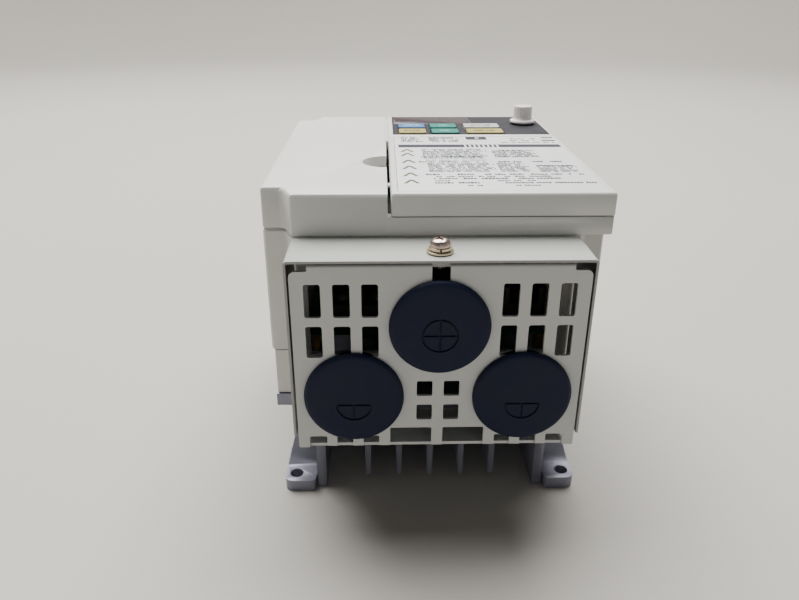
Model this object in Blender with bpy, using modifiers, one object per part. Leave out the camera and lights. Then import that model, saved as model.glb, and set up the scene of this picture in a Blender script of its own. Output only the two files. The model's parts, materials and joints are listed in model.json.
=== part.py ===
"""A compact variable frequency drive with a conduit box, lying on its heat sink with the operator panel up.

Metres, +Z up, +Y towards the drive's top end. The parts are placed from the near end of the plastic case
by parenting them to an empty, which puts the middle of the whole drive over the origin.
"""

import math

import bmesh
import bpy
from mathutils import Matrix, Vector

# Driving dimensions of the drive
WIDTH = 0.108
LENGTH = 0.128
DEPTH = 0.110
BOX_LENGTH = 0.020
PLUG_PROUD = 0.002
GAP = 0.0003
WALL = 0.002

# Levels of the case, from the feet upward
SINK_TOP = 0.0360
LOWER_SEAM = 0.0532
UPPER_SEAM = 0.0967
COVER_SEAM = 0.1025

# Outline of the case: a middle block with a narrower strip along each side
SIDE = WIDTH / 2
BLOCK_SIDE = 0.0440
STEP_SIDE = 0.0470
STRIP_NEAR = 0.0080
STRIP_FAR = LENGTH - STRIP_NEAR
STRIP_DRAFT = 0.0002

# Heat sink
BASE_BOTTOM = 0.0314
LEG_IN, LEG_OUT = 0.0371, 0.0404
LEG_LIFT = 0.0004
FIN_PITCH = 0.0111
FIN_ROOT, FIN_TIP = 0.0026, 0.0017
FOOT_OUT = 0.0519
FOOT_HEIGHT = 0.0046
FOOT_LENGTH = 0.0200
RAMP_LEAN = 0.0073
HOLE_X, HOLE_Y = 0.0480, 0.0050
HOLE_RADIUS = 0.0024

# Front cover, operator and the slot beside them
SLOT_LEFT, SLOT_RIGHT = -0.0149, -0.01385
SLIT_Y = (0.0040, 0.0780)
OPERATOR_NEAR = 0.0843
SKIN = 0.0004
PLATE_TOP = DEPTH - 0.0006
KEY_SIZE = (0.0112, 0.0084)
KEY_TRAVEL_ROOM = 0.0008
KEY_COLUMNS = (-0.0037, 0.0098, 0.0263)
KEY_ROWS = (0.0922, 0.1036)
WIDE_KEY = 0.0150
KEY_NAMES = (("data_enter_key", "down_key", "stop_key"), ("display_key", "up_key", "run_key"))
KNOB_CENTRE = (0.0452, 0.1100)
SHAFT_RADIUS = 0.0015

# Conduit box
PANEL_SIDE = 0.0429
PANEL_SHEET = 0.0010
PANEL_TOP = 0.0951
PANEL_BOTTOM = 0.0341
COVER_SIDE = 0.0443
COVER_SHEET = 0.00115
COVER_TOP = 0.0964
COVER_BOTTOM = 0.0384
PLUG_RADIUS = 0.01485
PLUG_HOLE = 0.0138
PLUGS = (("centre_plug", 0.0, 0.0759), ("left_plug", -0.0254, 0.0527), ("right_plug", 0.0254, 0.0527))
SCREW_Y = -0.0133

# Boards and what they carry
POWER_BOARD = (0.0600, 0.0616)
CONTROL_BOARD = (0.0880, 0.0896)
TERMINALS = 6
TERMINAL_PITCH = 0.0120


def clear_scene():
    for old in list(bpy.data.objects):
        bpy.data.objects.remove(old, do_unlink=True)


def collection(name):
    made = bpy.data.collections.new(name)
    bpy.context.scene.collection.children.link(made)
    return made


def material(name, colour, roughness, metallic=0.0):
    made = bpy.data.materials.new(name)
    made.use_nodes = True
    shader = made.node_tree.nodes["Principled BSDF"]
    shader.inputs["Base Color"].default_value = (*colour, 1.0)
    shader.inputs["Roughness"].default_value = roughness
    shader.inputs["Metallic"].default_value = metallic
    return made


def place(name, mesh, finish, origin):
    """Puts a mesh in the drive as the part of this name, or as a helper when it has no finish."""
    obj = bpy.data.objects.new(name, mesh)
    obj.location = origin
    obj.parent = DRIVE
    if finish is None:
        HELPERS.objects.link(obj)
        obj.hide_render = True
        obj.display_type = "WIRE"
    else:
        PARTS.objects.link(obj)
        mesh.materials.append(finish)
    return obj


def mesh_from(shape, name, origin):
    """Moves a bmesh so that origin becomes its zero, and turns it into a mesh."""
    bmesh.ops.translate(shape, vec=-Vector(origin), verts=shape.verts)
    mesh = bpy.data.meshes.new(name)
    shape.to_mesh(mesh)
    shape.free()
    return mesh


def add_box(shape, x, y, z):
    verts = bmesh.ops.create_cube(shape, size=1.0)["verts"]
    size = (x[1] - x[0], y[1] - y[0], z[1] - z[0])
    centre = ((x[0] + x[1]) / 2, (y[0] + y[1]) / 2, (z[0] + z[1]) / 2)
    bmesh.ops.scale(shape, vec=size, verts=verts)
    bmesh.ops.translate(shape, vec=centre, verts=verts)


def boxes(name, finish, spans, origin=None):
    """One mesh of boxes, each given by its spans along X, Y and Z."""
    shape = bmesh.new()
    for x, y, z in spans:
        add_box(shape, x, y, z)
    if origin is None:
        x, y, z = spans[0]
        origin = ((x[0] + x[1]) / 2, (y[0] + y[1]) / 2, (z[0] + z[1]) / 2)
    return place(name, mesh_from(shape, name, origin), finish, origin)


def block(name, finish, x, y, z, origin=None):
    return boxes(name, finish, [(x, y, z)], origin)


def cylinders(name, finish, rods, sides=24, origin=None):
    """One mesh of rods, each given by its base, its far end and its radius."""
    shape = bmesh.new()
    for base, end, radius in rods:
        base, end = Vector(base), Vector(end)
        along = end - base
        turn = along.to_track_quat("Z", "Y").to_matrix().to_4x4()
        bmesh.ops.create_cone(
            shape,
            cap_ends=True,
            segments=sides,
            radius1=radius,
            radius2=radius,
            depth=along.length,
            matrix=Matrix.Translation((base + end) / 2) @ turn,
        )
    if origin is None:
        origin = rods[0][0]
    return place(name, mesh_from(shape, name, origin), finish, origin)


def outline_solid(name, finish, points, low, high, axis="Z", origin=None):
    """A flat outline extruded from low to high along Z, or along Y for an outline drawn in X and Z."""
    curve = bpy.data.curves.new(name, "CURVE")
    curve.dimensions = "2D"
    curve.fill_mode = "BOTH"
    curve.extrude = (high - low) / 2
    spline = curve.splines.new("POLY")
    spline.points.add(len(points) - 1)
    for spot, (first, second) in zip(spline.points, points):
        spot.co = (first, second, 0.0, 1.0)
    spline.use_cyclic_u = True
    guide = bpy.data.objects.new(name + "_outline", curve)
    HELPERS.objects.link(guide)
    bpy.context.view_layer.update()
    solid = guide.evaluated_get(bpy.context.evaluated_depsgraph_get())
    mesh = bpy.data.meshes.new_from_object(solid)
    bpy.data.objects.remove(guide, do_unlink=True)
    shape = bmesh.new()
    shape.from_mesh(mesh)
    bmesh.ops.remove_doubles(shape, verts=shape.verts, dist=1e-6)
    if axis == "Y":
        bmesh.ops.rotate(shape, matrix=Matrix.Rotation(math.pi / 2, 3, "X"), verts=shape.verts)
        bmesh.ops.translate(shape, vec=(0.0, (low + high) / 2, 0.0), verts=shape.verts)
    else:
        bmesh.ops.translate(shape, vec=(0.0, 0.0, (low + high) / 2), verts=shape.verts)
    bmesh.ops.recalc_face_normals(shape, faces=shape.faces)
    if origin is None:
        origin = (0.0, (low + high) / 2, 0.0) if axis == "Y" else (0.0, 0.0, (low + high) / 2)
    return place(name, mesh_from(shape, name, origin), finish, origin)


def turned(name, finish, profile, origin, axis="Z", steps=28):
    """A turned piece from (radius, height) points, top to bottom. Points off the axis close into a ring."""
    mesh = bpy.data.meshes.new(name)
    edges = [(i, i + 1) for i in range(len(profile) - 1)]
    if profile[0][0] > 0:
        edges.append((len(profile) - 1, 0))
    mesh.from_pydata([(radius, 0.0, height) for radius, height in profile], edges, [])
    obj = place(name, mesh, finish, origin)
    screw = obj.modifiers.new("turn", "SCREW")
    screw.steps = steps
    screw.render_steps = steps
    screw.use_merge_vertices = True
    screw.merge_threshold = 1e-6
    screw.use_smooth_shade = True
    if axis == "-Y":
        obj.rotation_euler = (math.pi / 2, 0.0, 0.0)
    return obj


def boolean(target, helper, operation):
    modifier = target.modifiers.new(helper.name, "BOOLEAN")
    modifier.operation = operation
    modifier.object = helper
    modifier.solver = "EXACT"
    modifier.use_self = True
    return target


def cut(target, helper):
    return boolean(target, helper, "DIFFERENCE")


def join(target, helper):
    return boolean(target, helper, "UNION")


def bevel(target, width, segments=2, angle=40.0):
    modifier = target.modifiers.new("rounded edges", "BEVEL")
    modifier.width = width
    modifier.segments = segments
    modifier.limit_method = "ANGLE"
    modifier.angle_limit = math.radians(angle)
    return target


def arc(centre, radius, start, end, steps):
    """Points of an arc in degrees, both ends included."""
    points = []
    for i in range(steps + 1):
        angle = math.radians(start + (end - start) * i / steps)
        points.append((centre[0] + radius * math.cos(angle), centre[1] + radius * math.sin(angle)))
    return points


def half_outline(shrink):
    """The right half of the case seen from above, from the near end to the far end."""
    return [
        (BLOCK_SIDE - shrink, shrink),
        (STEP_SIDE - 0.7 * shrink, STRIP_NEAR + shrink),
        (SIDE - shrink, STRIP_NEAR + STRIP_DRAFT + shrink),
        (SIDE - shrink, STRIP_FAR - STRIP_DRAFT - shrink),
        (STEP_SIDE - 0.7 * shrink, STRIP_FAR - shrink),
        (BLOCK_SIDE - shrink, LENGTH - shrink),
    ]


def case_outline(shrink=0.0):
    right = half_outline(shrink)
    left = [(-x, y) for x, y in reversed(right)]
    return right + left


def front_outline(shrink=0.0):
    """The upper case seen from above: square on the right, stepped on the left."""
    left = [(-x, y) for x, y in reversed(half_outline(shrink))]
    return [(SIDE - shrink, shrink), (SIDE - shrink, LENGTH - shrink)] + left


def heat_sink():
    sink = outline_solid("heat_sink", ALLOY, case_outline(GAP), BASE_BOTTOM, SINK_TOP)
    root = BASE_BOTTOM + 0.001
    for number in range(-2, 3):
        middle = number * FIN_PITCH
        x = (middle - FIN_ROOT / 2, middle + FIN_ROOT / 2)
        fin = block(f"fin_{number + 3}", None, x, (0.0055, LENGTH - 0.0055), (0.0030, root))
        for vert in fin.data.vertices:
            if vert.co.z < 0:
                vert.co.x *= FIN_TIP / FIN_ROOT
        join(sink, fin)
    for side, word in ((-1, "left"), (1, "right")):
        x = sorted((side * LEG_IN, side * LEG_OUT))
        join(sink, block(word + "_leg", None, x, (0.0026, LENGTH - 0.0026), (LEG_LIFT, root)))
        for near in (True, False):
            join(sink, foot(side, near))
    holes = []
    for x in (-HOLE_X, HOLE_X):
        for y in (HOLE_Y, LENGTH - HOLE_Y):
            holes.append(((x, y, -0.001), (x, y, FOOT_HEIGHT + 0.004), HOLE_RADIUS))
    cut(sink, cylinders("mounting_holes", None, holes, 16))
    sockets = [((x, y, BASE_BOTTOM + 0.0012), (x, y, SINK_TOP + 0.001), 0.0018) for x, y in MODULE_SCREWS]
    cut(sink, cylinders("module_screw_sockets", None, sockets, 12))
    through = [((x, y, BASE_BOTTOM - 0.001), (x, y, SINK_TOP + 0.001), 0.0020) for x, y in CASE_SCREWS]
    cut(sink, cylinders("case_screw_holes", None, through, 12))
    return sink


def foot(side, near):
    """One mounting foot: a pad with round corners and a hollow-faced ramp that sweeps up behind it."""
    radius, inner_radius = 0.0030, 0.0016
    inner, corner = LEG_IN + 0.0010, LEG_OUT + 0.0006
    outer = FOOT_OUT - radius
    length = FOOT_LENGTH
    points = [(inner, length), (inner, 0.0034), (corner, 0.0034)]
    points += arc((corner + inner_radius, inner_radius), inner_radius, 180, 270, 3)
    points += arc((outer, radius), radius, -90, 0, 4)
    points += [(FOOT_OUT, length)]
    flip = (lambda y: y + 0.0004) if near else (lambda y: LENGTH - 0.0004 - y)
    points = [(side * x, flip(y)) for x, y in points]
    name = f"foot_{'left' if side < 0 else 'right'}_{'near' if near else 'far'}"
    pad = outline_solid(name, None, points, 0.0, FOOT_HEIGHT)
    rise = BASE_BOTTOM + 0.0012 - FOOT_HEIGHT
    front, depth, back = 0.0080, 0.0096, length - 0.0004
    section = [(back, BASE_BOTTOM + 0.0012), (back, 0.0012), (front, 0.0012)]
    for i in range(10):
        turn = math.radians(10 * i)
        low = FOOT_HEIGHT - 0.0001
        section.append((front + depth * math.sin(turn), low + rise * (1 - math.cos(turn))))
    shape = bmesh.new()
    rows = []
    for narrow in (False, True):
        row = []
        for y, z in section:
            x = inner + 0.0002
            if narrow:
                x = FOOT_OUT - 0.0002 - RAMP_LEAN * max(0.0, z - FOOT_HEIGHT) / rise
            row.append(shape.verts.new((side * x, flip(y), z)))
        rows.append(row)
    count = len(section)
    for i in range(count):
        shape.faces.new((rows[0][i], rows[0][(i + 1) % count], rows[1][(i + 1) % count], rows[1][i]))
    shape.faces.new(rows[0])
    shape.faces.new(rows[1])
    bmesh.ops.recalc_face_normals(shape, faces=shape.faces)
    origin = (0.0, 0.0, 0.0)
    return join(pad, place(name + "_ramp", mesh_from(shape, name + "_ramp", origin), None, origin))


def lower_case():
    low, high = SINK_TOP + GAP, LOWER_SEAM - GAP / 2
    case = outline_solid("lower_case", CASE_GREY, case_outline(0.0008), low, high)
    cut(case, outline_solid("lower_hollow", None, case_outline(0.0008 + WALL), low - 0.001, high + 0.001))
    cut(case, block("lower_entry", None, LOWER_ENTRY_X, (-0.001, WALL + 0.003), LOWER_ENTRY_Z))
    bosses = []
    for x, y in CASE_SCREWS:
        side = math.copysign(1.0, x)
        span = sorted((x - side * 0.0035, side * (SIDE - 0.0015)))
        bosses.append((span, (y - 0.0035, y + 0.0035), (low, high - 0.003)))
    join(case, boxes("case_bosses", None, bosses))
    holes = [((x, y, low - 0.001), (x, y, low + 0.010), 0.0018) for x, y in CASE_SCREWS]
    cut(case, cylinders("boss_holes", None, holes, 12))
    holes = [((x, -0.001, BRACKET_SCREW_Z), (x, 0.004, BRACKET_SCREW_Z), 0.0018) for x in BRACKET_SCREWS]
    cut(case, cylinders("bracket_screw_holes", None, holes, 12))
    return case


def middle_case():
    low, high = LOWER_SEAM + GAP / 2, UPPER_SEAM - GAP / 2
    case = outline_solid("middle_case", CASE_GREY, case_outline(), low, high)
    bevel(case, 0.0008, 1, 30)
    cut(case, outline_solid("middle_hollow", None, case_outline(WALL), low - 0.001, high + 0.001))
    cut(case, block("wire_entry", None, WIRE_ENTRY_X, (-0.001, WALL + 0.001), WIRE_ENTRY_Z))
    slots = []
    for number in range(10):
        x = (number - 4.5) * 0.0076
        slots.append(((x - 0.0014, x + 0.0014), (LENGTH - WALL - 0.001, LENGTH + 0.001), (0.062, 0.084)))
    for side in (-1, 1):
        for number in range(9):
            y = 0.028 + number * 0.009
            x = sorted((side * (SIDE - WALL - 0.001), side * (SIDE + 0.001)))
            slots.append((x, (y - 0.0014, y + 0.0014), (0.060, 0.076)))
    cut(case, boxes("vent_slots", None, slots))
    ledges = []
    under = (CONTROL_BOARD[0] - 0.0040, CONTROL_BOARD[0] - GAP)
    for y in (0.0360, 0.1120):
        ledges.append(((-SIDE + 0.0010, CONTROL_LEFT + 0.0030), (y - 0.0020, y + 0.0020), under))
        ledges.append(((CONTROL_RIGHT - 0.0030, SIDE - 0.0010), (y - 0.0020, y + 0.0020), under))
    join(case, boxes("board_ledges", None, ledges))
    return case


def upper_case():
    """The front housing: a tall left column, and a low deck under the cover and the operator."""
    low = UPPER_SEAM + GAP / 2
    case = outline_solid("upper_case", CASE_GREY, front_outline(), low - 0.004, DEPTH)
    bevel(case, 0.0014, 2, 30)
    cut(case, block("seam_trim", None, (-0.07, 0.07), (-0.02, 0.15), (0.08, low)))
    cut(case, block("cover_room", None, (SLOT_LEFT, 0.07), (-0.02, 0.15), (COVER_SEAM, 0.12)))
    deck = COVER_SEAM - WALL
    left = [(-x, y) for x, y in half_outline(WALL)]
    column = left + [(SLOT_LEFT - WALL, LENGTH - WALL), (SLOT_LEFT - WALL, WALL)]
    cut(case, outline_solid("column_hollow", None, column, low - 0.001, DEPTH - WALL))
    inside = WALL + 0.0001
    deck_x, deck_y = (SLOT_LEFT - WALL - 0.001, SIDE - WALL), (inside, LENGTH - inside)
    cut(case, block("deck_hollow", None, deck_x, deck_y, (low - 0.002, deck)))
    through = (deck - 0.001, COVER_SEAM + 0.001)
    cut(case, block("terminal_window", None, TERMINAL_WINDOW_X, TERMINAL_WINDOW_Y, through))
    cut(case, block("operator_bay", None, BAY_X, BAY_Y, through))
    slit_x = (SLOT_LEFT + 0.0001, SLOT_RIGHT + 0.0003)
    cut(case, block("slot_slit", None, slit_x, SLIT_Y, through))
    recess = (SLOT_LEFT - 0.0002, 0.0400)
    boss = [(x, y) for x, y in arc(recess, 0.0100, 90, 270, 12)]
    join(case, outline_solid("finger_boss", None, boss, 0.1045, DEPTH - 0.0010))
    scoop = arc(recess, 0.0082, 90, 270, 14) + [(recess[0] + 0.002, 0.0318), (recess[0] + 0.002, 0.0482)]
    cut(case, outline_solid("finger_recess", None, scoop, 0.1062, DEPTH + 0.001))
    return case


def front_cover():
    low = COVER_SEAM + GAP
    x, y = (SLOT_RIGHT, SIDE), (0.0, OPERATOR_NEAR - GAP)
    cover = block("front_cover", CASE_GREY, x, y, (low - 0.004, DEPTH))
    bevel(cover, 0.0010, 2)
    cut(cover, block("cover_trim", None, (-0.07, 0.07), (-0.02, 0.15), (0.08, low)))
    inside_x, inside_y = (x[0] + WALL, x[1] - WALL), (y[0] + WALL, y[1] - WALL)
    cut(cover, block("cover_hollow", None, inside_x, inside_y, (low - 0.001, DEPTH - WALL)))
    grow = 0.0001
    pocket_x, pocket_y = (LABEL_X[0] - grow, LABEL_X[1] + grow), (LABEL_Y[0] - grow, LABEL_Y[1] + grow)
    cut(cover, block("label_pocket", None, pocket_x, pocket_y, (PLATE_TOP - 0.0001, DEPTH + 0.001)))
    block("front_label", LABEL_WHITE, LABEL_X, LABEL_Y, (PLATE_TOP + 0.0001, PLATE_TOP + 0.0001 + SKIN))
    return cover


def key_spans(grow=0.0):
    """Name, span along X and span along Y of each key."""
    found = []
    for row, names in zip(KEY_ROWS, KEY_NAMES):
        for middle, name in zip(KEY_COLUMNS, names):
            width = WIDE_KEY if middle == KEY_COLUMNS[-1] else KEY_SIZE[0]
            x = (middle - width / 2 - grow, middle + width / 2 + grow)
            y = (row - KEY_SIZE[1] / 2 - grow, row + KEY_SIZE[1] / 2 + grow)
            found.append((name, x, y))
    return found


def operator_housing():
    low = COVER_SEAM + GAP
    x, y = (SLOT_RIGHT, SIDE), (OPERATOR_NEAR, LENGTH)
    shell = block("operator_housing", CASE_GREY, x, y, (low - 0.004, DEPTH))
    bevel(shell, 0.0010, 2)
    cut(shell, block("operator_trim", None, (-0.07, 0.07), (-0.02, 0.15), (0.08, low)))
    hollow_x, hollow_y = (x[0] + WALL, x[1] - WALL), (y[0] + WALL, y[1] - WALL)
    cut(shell, block("operator_hollow", None, hollow_x, hollow_y, (low - 0.001, DEPTH - WALL)))
    grow = 0.0001
    pocket_x = (OVERLAY_X[0] - grow, OVERLAY_X[1] + grow)
    pocket_y = (OVERLAY_Y[0] - grow, OVERLAY_Y[1] + grow)
    cut(shell, block("overlay_pocket", None, pocket_x, pocket_y, (PLATE_TOP, DEPTH + 0.001)))
    holes = [(kx, ky, (0.1070, DEPTH + 0.001)) for _, kx, ky in key_spans(GAP)]
    holes.append((DISPLAY_X, DISPLAY_Y, (0.1070, DEPTH + 0.001)))
    cut(shell, boxes("operator_openings", None, holes))
    shaft = ((*KNOB_CENTRE, 0.1070), (*KNOB_CENTRE, DEPTH + 0.001), 0.0030)
    cut(shell, cylinders("shaft_hole", None, [shaft], 20))
    return shell


def operator_skin():
    """The dark overlay with its key openings, and the smoked window set into it."""
    z = (PLATE_TOP + 0.0002, PLATE_TOP + 0.0002 + SKIN)
    overlay = block("operator_overlay", OVERLAY_DARK, OVERLAY_X, OVERLAY_Y, z)
    holes = [(kx, ky, (z[0] - 0.001, z[1] + 0.001)) for _, kx, ky in key_spans(GAP)]
    grow = 0.0002
    window_x = (WINDOW_X[0] - grow, WINDOW_X[1] + grow)
    window_y = (WINDOW_Y[0] - grow, WINDOW_Y[1] + grow)
    holes.append((window_x, window_y, (z[0] - 0.001, z[1] + 0.001)))
    cut(overlay, boxes("overlay_openings", None, holes))
    knob = ((*KNOB_CENTRE, z[0] - 0.001), (*KNOB_CENTRE, z[1] + 0.001), 0.0046)
    cut(overlay, cylinders("overlay_knob_hole", None, [knob], 24))
    block("display_window", WINDOW_TINT, WINDOW_X, WINDOW_Y, z)
    x, y = DISPLAY_X, DISPLAY_Y
    block("display_module", BLACK, (x[0] + GAP, x[1] - GAP), (y[0] + GAP, y[1] - GAP), (0.1056, PLATE_TOP))


def keys():
    """Six keys that travel straight down, each held under the housing by a flange."""
    top, flange_top = DEPTH + 0.0006, DEPTH - WALL - GAP
    bottom = flange_top - 0.0008
    finishes = dict(display_key=KEY_BLUE, data_enter_key=KEY_YELLOW, stop_key=KEY_YELLOW, run_key=KEY_GREY)
    for name, x, y in key_spans():
        origin = ((x[0] + x[1]) / 2, (y[0] + y[1]) / 2, bottom)
        key = block(name, finishes.get(name, KEY_GREEN), x, y, (bottom, top), origin)
        rim = 0.0007
        wide_x, wide_y = (x[0] - rim, x[1] + rim), (y[0] - rim, y[1] + rim)
        join(key, block(name + "_flange", None, wide_x, wide_y, (bottom, flange_top)))
    pad_top = bottom - KEY_TRAVEL_ROOM
    block("key_membrane", RUBBER, (-0.0110, 0.0350), (0.0870, 0.1090), (pad_top - 0.0005, pad_top))


def operator_inside():
    board_top = 0.1050
    block("operator_board", BOARD, (-0.0114, 0.0515), (0.0868, 0.1255), (board_top - 0.0012, board_top))
    tray_x, tray_y = (BAY_X[0] + GAP, BAY_X[1] - GAP), (BAY_Y[0] + GAP, BAY_Y[1] - GAP)
    tray_z = (0.0988, 0.1034)
    tray = block("operator_back", CASE_GREY, tray_x, tray_y, tray_z)
    wall = 0.0015
    hollow_x, hollow_y = (tray_x[0] + wall, tray_x[1] - wall), (tray_y[0] + wall, tray_y[1] - wall)
    cut(tray, block("tray_hollow", None, hollow_x, hollow_y, (tray_z[0] + wall, tray_z[1] + 0.001)))
    block("operator_plug", BLACK, (0.0100, 0.0300), (0.1000, 0.1060), (0.0925, tray_z[0] - GAP))
    socket_z = (CONTROL_BOARD[1] + GAP, 0.0975)
    socket = block("operator_socket", BLACK, (0.0080, 0.0320), (0.0980, 0.1080), socket_z)
    cut(socket, block("socket_well", None, (0.0094, 0.0306), (0.0994, 0.1066), (0.0916, 0.0985)))
    x, y = KNOB_CENTRE
    half = 0.005
    body = block("speed_potentiometer", BLACK, (x - half, x + half), (y - half, y + half), (0.1053, 0.1076))
    bore = ((x, y, 0.1060), (x, y, 0.1090), SHAFT_RADIUS + 0.0003)
    cut(body, cylinders("potentiometer_bore", None, [bore], 20))


def frequency_knob():
    """The turned knob and the shaft that it sits on, which turn about the shaft's axis."""
    x, y = KNOB_CENTRE
    origin = (x, y, DEPTH)
    cylinders("knob_shaft", STEEL, [((x, y, 0.1063), (x, y, 0.1150), SHAFT_RADIUS)], 20, origin)
    bore = SHAFT_RADIUS + GAP
    profile = [
        (0.0, 0.0079),
        (0.0034, 0.0079),
        (0.0039, 0.0075),
        (0.0041, 0.0019),
        (0.0049, 0.0018),
        (0.0054, 0.0014),
        (0.0054, 0.0006),
        (bore, 0.0006),
        (bore, 0.0053),
        (0.0, 0.0053),
    ]
    turned("frequency_knob", KNOB_GREY, profile, origin, steps=24)


def conduit_bracket():
    """The sheet-metal front of the conduit box, with its bottom flange, rear tabs and screw tab."""
    front, back = -BOX_LENGTH, -BOX_LENGTH + PANEL_SHEET
    notch_x, notch_z, corner = 0.0377, PANEL_TOP - 0.0018, 0.0018
    right = [(PANEL_SIDE, PANEL_BOTTOM)]
    right += arc((PANEL_SIDE - corner, notch_z - corner), corner, 0, 90, 3)
    right += [(notch_x, notch_z), (notch_x, PANEL_TOP)]
    panel = right + [(-x, z) for x, z in reversed(right)]
    bracket = outline_solid("conduit_bracket", SHEET_GREY, panel, front, back, "Y")
    flange = [((-0.0393, 0.0393), (front, -0.0006), (PANEL_BOTTOM, PANEL_BOTTOM + PANEL_SHEET))]
    join(bracket, boxes("bottom_flange", None, flange))
    tabs = []
    for x in BRACKET_SCREWS:
        tab_z = (PANEL_BOTTOM + 0.0005, BRACKET_SCREW_Z + 0.005)
        tabs.append(((x - 0.0060, x + 0.0060), (-0.0022, -0.0006), tab_z))
    tabs.append(((-0.0100, 0.0100), (front + 0.0001, -0.0070), (PANEL_TOP - 0.0017, PANEL_TOP - 0.0001)))
    join(bracket, boxes("bracket_tabs", None, tabs))
    windows = []
    through = (front - 0.001, back + 0.001)
    for side in (-1, 1):
        for inner, outer in ((0.0342, 0.0390), (0.0259, 0.0308), (0.0178, 0.0226)):
            x = sorted((side * inner, side * outer))
            windows.append((x, through, (0.0790, 0.0894)))
            windows.append((x, through, (0.0660, 0.0762)))
        x = sorted((side * 0.0017, side * 0.00645))
        windows.append((x, through, (0.0525, 0.0577)))
        windows.append((x, through, (0.0440, 0.0494)))
        low, to_bend = PANEL_BOTTOM - 0.0010, (front - 0.0010, back - 0.0002)
        windows.append((sorted((side * 0.0017, side * 0.0145)), to_bend, (low, 0.0411)))
        for inner, outer in ((0.0341, 0.0395), (0.0260, 0.0310), (0.0179, 0.0228)):
            windows.append((sorted((side * inner, side * outer)), to_bend, (low, 0.0382)))
    windows.append(((-0.0026, 0.0026), (front - 0.001, back + 0.0004), (0.0850, 0.1000)))
    cut(bracket, boxes("panel_windows", None, windows))
    holes = [((x, front - 0.001, z), (x, back + 0.001, z), PLUG_HOLE) for _, x, z in PLUGS]
    cut(bracket, cylinders("conduit_holes", None, holes, 32))
    small = [((x, -0.004, BRACKET_SCREW_Z), (x, 0.001, BRACKET_SCREW_Z), 0.0018) for x in BRACKET_SCREWS]
    small.append(((0.0, SCREW_Y, PANEL_TOP - 0.004), (0.0, SCREW_Y, PANEL_TOP + 0.001), 0.0022))
    cut(bracket, cylinders("bracket_holes", None, small, 12))
    for number, x in enumerate(BRACKET_SCREWS, 1):
        screw(f"bracket_screw_{number}", (x, -0.0025, BRACKET_SCREW_Z), "Y", 0.0015, 0.0062)
    return bracket


def screw(name, seat, axis, shank, length):
    """A pan-head screw whose head sits on seat; its shank runs along +Y or along -Z."""
    head_radius, head_height = 2.0 * shank, 1.2 * shank
    profile = [
        (0.0, head_height),
        (0.7 * head_radius, head_height),
        (head_radius, 0.5 * head_height),
        (head_radius, 0.0),
        (shank, 0.0),
        (shank, -length),
        (0.0, -length),
    ]
    return turned(name, ZINC, profile, seat, "-Y" if axis == "Y" else "Z", 12)


def conduit_cover():
    """The U-shaped sheet that slides over the conduit box, with its captive screw and washers."""
    inner = COVER_SIDE - COVER_SHEET
    under = COVER_TOP - COVER_SHEET
    points = [
        (-COVER_SIDE, COVER_BOTTOM),
        (-inner, COVER_BOTTOM),
        (-inner, under),
        (inner, under),
        (inner, COVER_BOTTOM),
        (COVER_SIDE, COVER_BOTTOM),
        (COVER_SIDE, COVER_TOP),
        (-COVER_SIDE, COVER_TOP),
    ]
    cover = outline_solid("conduit_cover", SHEET_GREY, points, -BOX_LENGTH, -0.0004, "Y")
    hole = ((0.0, SCREW_Y, under - 0.001), (0.0, SCREW_Y, COVER_TOP + 0.001), 0.0023)
    cut(cover, cylinders("cover_screw_hole", None, [hole], 16))
    level = COVER_TOP + 0.0002
    ring("flat_washer", ZINC, level, 0.0007, 0.0039)
    ring("spring_washer", ZINC, level + 0.0009, 0.0009, 0.0033)
    head = level + 0.0020
    profile = [
        (0.0, head + 0.0021),
        (0.0014, head + 0.0021),
        (0.0024, head + 0.0016),
        (0.0030, head + 0.0007),
        (0.0030, head),
        (0.0017, head),
        (0.0017, head - 0.0110),
        (0.0, head - 0.0110),
    ]
    bolt = turned("cover_screw", ZINC, profile, (0.0, SCREW_Y, 0.0), steps=20)
    arms = [
        ((-0.0019, 0.0019), (SCREW_Y - 0.0004, SCREW_Y + 0.0004), (head + 0.0009, head + 0.004)),
        ((-0.0004, 0.0004), (SCREW_Y - 0.0019, SCREW_Y + 0.0019), (head + 0.0009, head + 0.004)),
    ]
    for number, arm in enumerate(arms, 1):
        cut(bolt, block(f"driver_recess_{number}", None, *arm))
    return cover


def ring(name, finish, bottom, height, radius):
    hole = 0.0020
    profile = [(hole, height), (radius, height), (radius, 0.0), (hole, 0.0)]
    return turned(name, finish, profile, (0.0, SCREW_Y, bottom), steps=20)


def hole_plugs():
    """Rubber plugs that close the three conduit holes: a wide face and a hollow neck."""
    face = PLUG_PROUD
    neck, inner = PLUG_HOLE - GAP, PLUG_HOLE - 0.0020
    for name, x, z in PLUGS:
        profile = [
            (0.0, face),
            (PLUG_RADIUS - 0.0011, face),
            (PLUG_RADIUS, face - 0.0011),
            (PLUG_RADIUS, GAP),
            (neck, GAP),
            (neck - 0.0004, -0.0040),
            (inner, -0.0040),
            (inner, 0.0),
            (0.0, 0.0),
        ]
        turned(name, PLUG_RUBBER, profile, (x, -BOX_LENGTH, z), "-Y", 36)


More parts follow.
